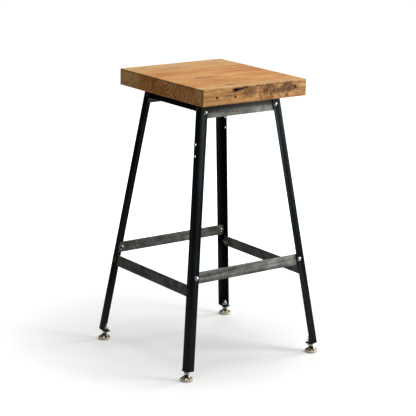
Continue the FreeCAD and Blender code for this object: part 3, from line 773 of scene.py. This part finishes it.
def seat_mesh():
    """The plank's six faces as one grid, worn at its edges."""
    axes = [lines_between(half, step) for half, step in zip(SEAT_HALF, GRID_STEPS)]
    last = [len(a) - 1 for a in axes]
    bm = bmesh.new()
    made = {}

    def vertex(key):
        if key not in made:
            sharp = Vector([axes[k][key[k]] for k in range(3)])
            made[key] = bm.verts.new(worn_point(sharp))
        return made[key]

    for fixed in range(3):
        u, v = [k for k in range(3) if k != fixed]
        for end in (0, last[fixed]):
            for i in range(last[u]):
                for j in range(last[v]):
                    keys = []
                    for du, dv in ((0, 0), (1, 0), (1, 1), (0, 1)):
                        key = [0, 0, 0]
                        key[fixed], key[u], key[v] = end, i + du, j + dv
                        keys.append(tuple(key))
                    bm.faces.new([vertex(k) for k in keys])
    bmesh.ops.recalc_face_normals(bm, faces=bm.faces)
    return mesh_from(bm, "seat_wood")


def worn_point(sharp):
    """A point of the sharp box moved onto the worn, round-edged plank."""
    here = sharp + SEAT_MID
    wear = noise.noise(here * 34.0) + 0.5 * noise.noise(here * 110.0)
    upper = 1.0 if sharp.z > 0 else 0.55
    ease = max(EASE_LEAST, (EASE + EASE_CHANGE * wear) * upper)
    core = Vector([max(-(h - ease), min(h - ease, c)) for h, c in zip(SEAT_HALF, sharp)])
    out = sharp - core
    if out.length > TOUCH:
        out = out.normalized() * ease
    point = core + out
    ax = abs(point.x) - (SEAT_HALF.x - CORNER_R)
    ay = abs(point.y) - (SEAT_HALF.y - CORNER_R)
    if ax > 0 and ay > 0:
        pull = max(ax, ay) / math.hypot(ax, ay)
        point.x = math.copysign(SEAT_HALF.x - CORNER_R + ax * pull, point.x)
        point.y = math.copysign(SEAT_HALF.y - CORNER_R + ay * pull, point.y)
    # the under face stays flat on the aprons; the rest is very slightly uneven
    if sharp.z > -SEAT_HALF.z + FLAT_UNDER:
        uneven = noise.noise(Vector((here.x * 9, here.y * 26, here.z * 26)))
        inward = point.normalized() if out.length > TOUCH else Vector((0, 0, 1))
        point += inward * (UNEVEN * uneven - SUNK)
    return point + SEAT_MID


def ragged_ball(centre, radii, seed, rough):
    """An uneven ellipsoid, to cut a hollow in the wood."""
    bm = bmesh.new()
    bmesh.ops.create_icosphere(bm, subdivisions=3, radius=1.0)
    for v in bm.verts:
        v.co *= 1.0 + rough * noise.noise(v.co * 1.7 + Vector((seed, seed, seed)))
        v.co = Vector([c * r for c, r in zip(v.co, radii)]) + Vector(centre)
    return mesh_from(bm, "ball")


def nail_cutter(x, y, z, radius, seed):
    """A slightly crooked tapered hole, going in along Y."""
    bm = bmesh.new()
    inward = 1.0 if y < 0 else -1.0
    rows = []
    taper = ((-0.003, 1.25), (0.0, 1.18), (0.0012, 0.98), (0.006, 0.90), (0.010, 0.72))
    for depth, scale in taper:
        row = []
        for s in range(NAIL_SIDES):
            a = 2 * math.pi * s / NAIL_SIDES
            wobble = 1.0 + 0.13 * noise.noise(Vector((math.cos(a), math.sin(a), seed + depth * 90)))
            r = radius * scale * wobble
            row.append(bm.verts.new((x + r * math.cos(a), y + inward * depth, z + r * math.sin(a))))
        rows.append(row)
    for low, high in zip(rows, rows[1:]):
        for s in range(NAIL_SIDES):
            t = (s + 1) % NAIL_SIDES
            bm.faces.new((low[s], low[t], high[t], high[s]))
    bm.faces.new(rows[0])
    bm.faces.new(rows[-1])
    bmesh.ops.recalc_face_normals(bm, faces=bm.faces)
    return mesh_from(bm, "nail")


def make_seat():
    """The plank with its nail holes, the knot hole, two cracks and the torn grain cut in."""
    cutters = []
    for nails, edge_y, seed_step, seed in (
        (FRONT_NAILS, FRONT_Y, 3.1, 0), (BACK_NAILS, -FRONT_Y, 5.3, 1),
    ):
        for i, (x, drop, r) in enumerate(nails):
            cutters.append(nail_cutter(x, edge_y, TOP_Z - drop, r, i * seed_step + seed))
    for hollow in (
        ((-0.0640, FRONT_Y, TOP_Z - 0.0083), (0.0080, 0.0058, 0.0034), 2.0, 0.35),
        ((-0.0560, -0.157, TOP_Z), (0.0110, 0.0021, 0.0030), 5.0, 0.5),
        ((0.0100, FRONT_Y, TOP_Z - 0.0042), (0.0160, 0.0016, 0.00055), 8.0, 0.3),
    ):
        cutters.append(ragged_ball(*hollow))
    for i, (x, drop, wide, high) in enumerate(TEARS):
        centre = (x, FRONT_Y, TOP_Z - drop)
        cutters.append(ragged_ball(centre, (wide, TEAR_DEPTH, high), 11.0 + 2.3 * i, 0.5))
    cut = carved(seat_mesh(), joined(cutters, "cutter"))
    shade(cut, 38.0)
    new_piece("seat_plank", cut, WOOD, "frame", ("seat",))


make_seat()


# ------------------------------------------------------------------ frame steel

for corner in CORNERS:
    softened("leg_" + corner, 0.00040, BLACK)
    softened("foot_plate_" + corner, 0.00035, BLACK)
for side in SIDES:
    along_x = side in ("front", "back")
    softened("footrest_" + side, 0.00045, BAR_X if along_x else BAR_Y)
    steel, slot_name = (APRON, "rail_steel") if along_x else (BLACK, "leg_steel")
    softened("apron_" + side, 0.00040, steel)
for which in ("apron", "rail"):
    plating = SHADED_ZINC if which == "apron" else ZINC
    softened(which + "_washers", 0.00015, plating)
    softened(which + "_nuts", 0.00012, plating)
softened("seat_screws", 0.00010, SHADED_ZINC)

LEG_UP = -Vector(JOINTS["front_left_stem_lift"]["axis"])
SLOPE_X = abs(LEG_UP.x / LEG_UP.z)
SLOPE_Y = abs(LEG_UP.y / LEG_UP.z)
FACE_NORMALS = [
    Vector((0, -1, SLOPE_Y)).normalized(), Vector((0, 1, SLOPE_Y)).normalized(),
    Vector((-1, 0, SLOPE_X)).normalized(), Vector((1, 0, SLOPE_X)).normalized(),
]
HEAD_HIGH = 3.6 * MM
SHANK_R = 3.0 * MM
PLAIN = 0.0060           # unthreaded length of the shank
GRIP = 15.1 * MM
CHAMFER = 0.0008
BOLT_SIDES = 32


def loose_parts(node):
    """Vertex positions of each separate solid of a CAD node."""
    bm = welded(node)
    left = set(bm.verts)
    parts = []
    while left:
        stack = [left.pop()]
        found = []
        while stack:
            v = stack.pop()
            found.append(v.co.copy())
            for e in v.link_edges:
                o = e.other_vert(v)
                if o in left:
                    left.remove(o)
                    stack.append(o)
        parts.append(found)
    bm.free()
    return sorted(parts, key=lambda part: [round(c, 4) for c in sum(part, Vector()) / len(part)])


def bolt_axis(points):
    """Head plane centre and outward direction of one bolt, read from its CAD solid."""
    best = None
    middle = sum(points, Vector()) / len(points)
    for n in FACE_NORMALS:
        if middle.x * n.x + middle.y * n.y <= 0:
            continue
        u = Vector((1, 0, 0)) if abs(n.x) < 0.5 else Vector((0, 1, 0))
        v = n.cross(u)
        us = [c.dot(u) for c in points]
        vs = [c.dot(v) for c in points]
        wide = (max(us) - min(us)) + (max(vs) - min(vs))
        if best is None or wide < best[0]:
            top = max(c.dot(n) for c in points)
            centre = u * (max(us) + min(us)) / 2 + v * (max(vs) + min(vs)) / 2
            best = (wide, centre + n * (top - HEAD_HIGH), n)
    return best[1], best[2]


def dome_bolt():
    """A domed bolt with its head plane at nought and its threaded shank downward."""
    head = [
        (0.0, 3.58), (1.6, 3.46), (3.1, 2.92), (4.4, 2.12), (5.35, 1.18), (5.86, 0.52), (5.98, 0.24),
        (5.9, 0.02),
    ]
    profile = [(r * MM, h * MM) for r, h in smooth_profile(head, 3)]
    profile += [
        (SHANK_R + 0.0004, 0.0), (SHANK_R, -0.0004), (SHANK_R, -PLAIN), (SHANK_R, -GRIP + CHAMFER),
        (SHANK_R - CHAMFER, -GRIP), (0.0, -GRIP),
    ]
    profile.reverse()
    thread = (-GRIP + CHAMFER, -PLAIN, 0.0010, 0.00045, 0.000166)
    return turned(profile, BOLT_SIDES, thread=thread)


def make_bolts(which):
    """All the bolts of the aprons or of the rails, as one piece."""
    meshes = []
    for part in loose_parts(which + "_bolts"):
        origin, direction = bolt_axis(part)
        one = dome_bolt()
        one.transform(aimed(origin, direction))
        meshes.append(one)
    mesh = joined(meshes, which + "_bolts")
    shade(mesh, 40.0)
    new_piece(which + "_bolt_set", mesh, BOLT_ZINC, "frame", (which + "_bolts",))


make_bolts("apron")
make_bolts("rail")


# ------------------------------------------------------------------ levelling feet

BALL_R = 4.7 * MM
STEM_R = 4.0 * MM
NECK_R = 2.6 * MM
THREAD_START = 8.6 * MM
PITCH = 0.00125
STEM_CHAMFER = 0.0009
STEM_SIDES = 36
BALL_SWEEP = 146.4                       # degrees of the ball's outline, from its lowest point
BALL_STEPS = 12
SCREW_SLOT = (0.012, 0.0014, 0.0044)
PAD_SIDES = 56
CUP_R = 5.0                              # millimetres
CUP_START, CUP_SWEEP = 34.0, 124.0       # degrees
CUP_STEPS = 8


def stem_mesh(top):
    """The threaded stem, ball at nought, with a screwdriver slot in its end at a height of top."""
    shoulder = THREAD_START - 0.0008
    thread_end = top - STEM_CHAMFER
    profile = [(0.0, -BALL_R)]
    for i in range(1, BALL_STEPS + 1):
        a = math.radians(-90 + BALL_SWEEP * i / BALL_STEPS)
        profile.append((BALL_R * math.cos(a), BALL_R * math.sin(a)))
    profile += [
        (NECK_R, shoulder), (STEM_R - 0.0005, shoulder), (STEM_R, THREAD_START),
        (STEM_R, thread_end), (STEM_R - STEM_CHAMFER, top), (0.0, top),
    ]
    rod = turned(profile, STEM_SIDES, thread=(THREAD_START, thread_end, PITCH, 0.00062, 0.000208))
    bm = bmesh.new()
    bmesh.ops.create_cube(bm, size=1.0)
    for v in bm.verts:
        v.co = Vector([c * size for c, size in zip(v.co, SCREW_SLOT)]) + Vector((0, 0, top))
    return carved(rod, mesh_from(bm, "slot"))


def shell_outline():
    """The polished cone: over its outside, and back through its inside."""
    outer = smooth_profile([
        (15.4, 5.42), (15.38, 6.15), (14.2, 7.05), (12.35, 8.5), (10.6, 9.95), (9.2, 11.3),
        (7.9, 12.65), (6.95, 13.75), (6.45, 14.25), (5.75, 14.38),
    ], 4)
    inner = smooth_profile([
        (5.2, 14.3), (4.95, 13.9), (5.15, 13.2), (5.9, 12.65), (8.3, 10.3), (11.7, 7.5),
        (14.3, 5.42),
    ], 4)
    return outer + inner


def base_outline(ball_high):
    """The plastic ring with a groove round its rim and a cup for the ball, in millimetres."""
    arris_shade = smooth_profile([
        (16.1, 0.02), (16.9, 0.35), (17.5, 1.05), (17.66, 2.0), (17.66, 2.55),
    ], 3)
    arris_shade += smooth_profile([
        (17.45, 2.75), (17.66, 2.95), (17.66, 4.3), (17.4, 4.95), (16.7, 5.36),
    ], 3)
    cup = []
    for i in range(CUP_STEPS):
        a = math.radians(CUP_START - CUP_SWEEP * i / CUP_STEPS)
        cup.append((CUP_R * math.cos(a), ball_high + CUP_R * math.sin(a)))
    cup.append((0.0, ball_high - CUP_R))
    return [(0.0, 0.0), (14.2, 0.0), (14.6, 0.02)] + arris_shade + [
        (8.4, 5.40), (8.0, 5.55), (6.5, ball_high + 2.6), (6.2, ball_high + 2.78),
        (4.35, ball_high + 2.80),
    ] + cup


def make_foot(corner):
    ball = Vector(JOINTS[corner + "_pad_tilt"]["pos_m"])
    up = -Vector(JOINTS[corner + "_stem_lift"]["axis"]).normalized()
    top = max(v.co.dot(up) for v in NODES["stem_" + corner].data.vertices) - ball.dot(up)
    rod = stem_mesh(top)
    rod.transform(aimed(ball, up))
    shade(rod, 42.0)
    new_piece("stem_%s_threaded" % corner, rod, ZINC, "stem_%s_body" % corner,
              ("stem_" + corner,))
    for part, outline, closed, material, slot_name in (
        ("shell", shell_outline(), True, NICKEL, "nickel"),
        ("base", base_outline(ball.z / MM), False, NYLON, "nylon"),
    ):
        mesh = turned([(r * MM, h * MM) for r, h in outline], PAD_SIDES, closed)
        mesh.transform(Matrix.Translation((ball.x, ball.y, 0)))
        shade(mesh, 50.0)
        node = "foot_%s_%s" % (part, corner)
        body = "pad_%s_body" % corner
        new_piece(node + "_" + slot_name, mesh, material, body, (node,))
    for nut in ("upper_nut_", "lower_nut_"):
        softened(nut + corner, 0.00014, ZINC, nut + corner + "_body")


for corner in CORNERS:
    make_foot(corner)


# ------------------------------------------------------------------ floor, light and sky

LIGHT_AIM = 0.45                         # height the lights point at
WARM = (1.0, 0.99, 0.97)
COOL = (0.94, 0.97, 1.0)
FLOOR_HALF = 14.0
FLOOR_GAP = 0.0002                       # below the feet
GLOW_CENTRE = (0.09, 0.11, 0.0)
GLOW_FADE = (0.34, 1.20, 0.155, 1.0)     # near and far distance, strength at each


def empty_tree(owner):
    """The emptied node tree of a material or world."""
    owner.use_nodes = True
    owner.node_tree.nodes.clear()
    return owner.node_tree


def add_nodes(tree, *kinds):
    return [tree.nodes.new("ShaderNode" + kind) for kind in kinds]


def wire(tree, *links):
    """Joins sockets. Each link is a node, its output, another node and its input."""
    for source, output, target, entry in links:
        tree.links.new(source.outputs[output], target.inputs[entry])


def make_floor():
    """A pale floor. The camera sees it glow, brighter with distance; reflections see it dull."""
    bm = bmesh.new()
    bmesh.ops.create_grid(bm, x_segments=8, y_segments=8, size=FLOOR_HALF)
    mesh = mesh_from(bm, "floor")
    floor = bpy.data.objects.new("floor", mesh)
    floor.location.z = CAD_BOX[0][2] - FLOOR_GAP
    SCENE.collection.objects.link(floor)
    material = bpy.data.materials.new("studio_floor")
    tree = empty_tree(material)
    output, seen, path, dull, white = add_nodes(
        tree, "OutputMaterial", "MixShader", "LightPath", "BsdfDiffuse", "BsdfDiffuse")
    glow, both, coords, away, fade = add_nodes(
        tree, "Emission", "AddShader", "TexCoord", "VectorMath", "MapRange")
    dull.inputs[0].default_value = grey(0.42)
    white.inputs[0].default_value = grey(0.92)
    away.operation = "DISTANCE"
    away.inputs[1].default_value = GLOW_CENTRE
    fade.interpolation_type = "SMOOTHSTEP"
    for socket, value in zip(fade.inputs[1:5], GLOW_FADE):
        socket.default_value = value
    wire(
        tree, (coords, "Object", away, 0), (away, "Value", fade, 0), (fade, 0, glow, 1),
        (white, 0, both, 0), (glow, 0, both, 1), (path, "Is Camera Ray", seen, 0),
        (dull, 0, seen, 1), (both, 0, seen, 2), (seen, 0, output, 0),
    )
    mesh.materials.append(material)


def make_world():
    """A white backdrop for the camera, and next to no light from it."""
    SCENE.world = bpy.data.worlds.new("studio")
    tree = empty_tree(SCENE.world)
    output, mix, path, room, paper = add_nodes(
        tree, "OutputWorld", "MixShader", "LightPath", "Background", "Background")
    room.inputs[0].default_value = (0.93, 0.97, 1.0, 1)
    room.inputs[1].default_value = 0.02
    paper.inputs[0].default_value = grey(1.0)
    paper.inputs[1].default_value = 1.0
    wire(
        tree, (path, "Is Camera Ray", mix, 0), (room, 0, mix, 1), (paper, 0, mix, 2),
        (mix, 0, output, 0),
    )


def area_light(name, bearing, height, distance, size, power, colour=(1, 1, 1)):
    """A soft panel aimed at the stool. Bearing turns from +X towards +Y; both angles in degrees."""
    aim = Vector((0, 0, LIGHT_AIM))
    b, h = math.radians(bearing), math.radians(height)
    away = Vector((math.cos(h) * math.cos(b), math.cos(h) * math.sin(b), math.sin(h)))
    place = aim + distance * away
    data = bpy.data.lights.new(name, "AREA")
    data.shape = "RECTANGLE"
    data.size, data.size_y = size
    data.energy = power
    data.color = colour
    light = bpy.data.objects.new(name, data)
    SCENE.collection.objects.link(light)
    turn = (aim - place).to_track_quat("-Z", "Y").to_matrix().to_4x4()
    light.matrix_world = Matrix.Translation(place) @ turn


make_floor()
make_world()
area_light("window_near", -48, 16, 2.4, (0.9, 1.1), 33, WARM)
area_light("window_far", -10, 16, 3.0, (1.5, 1.4), 36, WARM)
area_light("high_right", -2, 40, 3.0, (1.4, 1.4), 12)
area_light("overhead", 0, 89.9, 2.6, (1.8, 1.8), 42)
area_light("rear", 56, 30, 3.0, (1.6, 2.0), 14)
area_light("rear_left", 114, 38, 3.0, (1.4, 1.4), 5)
area_light("fill", -156, 38, 3.0, (0.7, 0.7), 5, COOL)
SCENE.view_settings.view_transform = "Standard"
